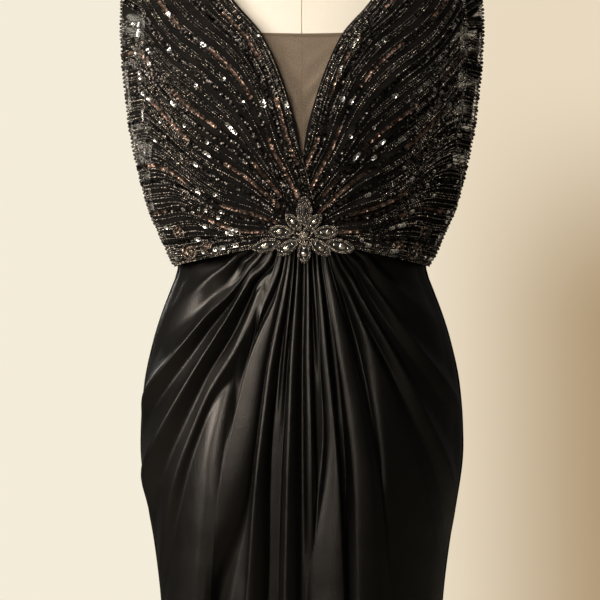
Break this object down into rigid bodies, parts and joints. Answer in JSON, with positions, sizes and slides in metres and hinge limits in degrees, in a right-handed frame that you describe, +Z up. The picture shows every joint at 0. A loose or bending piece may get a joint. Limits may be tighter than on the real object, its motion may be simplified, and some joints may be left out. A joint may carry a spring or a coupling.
{
  "type": "evening gown on a dress form",
  "caption": "Black evening gown with a beaded surplice bodice, a jewelled waist applique and a draped satin skirt, on a cream limbless dress form with a pole and round base.",
  "frame": {"origin": "centre of the base plate's underside", "axes": "+Z up, -Y out of the gown's front, +X towards the wearer's left"},
  "size_m": [0.424, 0.4031, 1.5733],
  "materials": {
    "linen_cover": "plain-weave linen stretched over padding, matt",
    "turned_wood": "turned and varnished, satin",
    "painted_steel": "black powder coat, satin",
    "beaded_net": "black tulle embroidered all over with beads and sequins",
    "black_lining": "plain-weave lining, low sheen",
    "taupe_net": "fine sheer mesh, matt",
    "black_satin": "heavy satin, soft sheen",
    "beaded_pewter": "antique silver beads and thread, dull metallic",
    "champagne_crystal": "faceted stone, high gloss",
    "backing_felt": "stiff felt, matt",
    "zip_tape": "woven tape, matt",
    "zip_metal": "black nickel, satin"
  },
  "bodies": {
    "root": {"form_torso": "linen_cover", "form_neck_cap": "turned_wood", "form_pole": "painted_steel", "form_base": "painted_steel", "lining_front_left": "black_lining", "lining_front_right": "black_lining", "lining_back_left": "black_lining", "lining_back_right": "black_lining", "neck_insert": "taupe_net", "bodice_front_left": "beaded_net", "bodice_front_right": "beaded_net", "bodice_back_left": "beaded_net", "bodice_back_right": "beaded_net", "skirt_front": "black_satin", "skirt_back_left": "black_satin", "skirt_back_right": "black_satin", "applique_backing": "backing_felt", "applique_boss": "champagne_crystal", "applique_leaf_top": "beaded_pewter", "applique_leaf_upper_left": "beaded_pewter", "applique_leaf_upper_right": "beaded_pewter", "applique_leaf_inner_left": "beaded_pewter", "applique_leaf_inner_right": "beaded_pewter", "applique_leaf_outer_left": "beaded_pewter", "applique_leaf_outer_right": "beaded_pewter", "applique_leaf_lower_left": "beaded_pewter", "applique_leaf_lower_right": "beaded_pewter", "applique_leaf_bottom": "beaded_pewter", "zip_tape": "zip_tape", "zip_slider": "zip_metal"},
    "zip_pull": {"zip_pull": "zip_metal"}
  },
  "joints": [
    {"name": "zip_pull_swing", "type": "hinge", "parent": "root", "child": "zip_pull", "pos_m": [0, 0.10292, 1.3672], "axis": [1, 0, 0], "range_deg": [0, 160]}
  ]
}
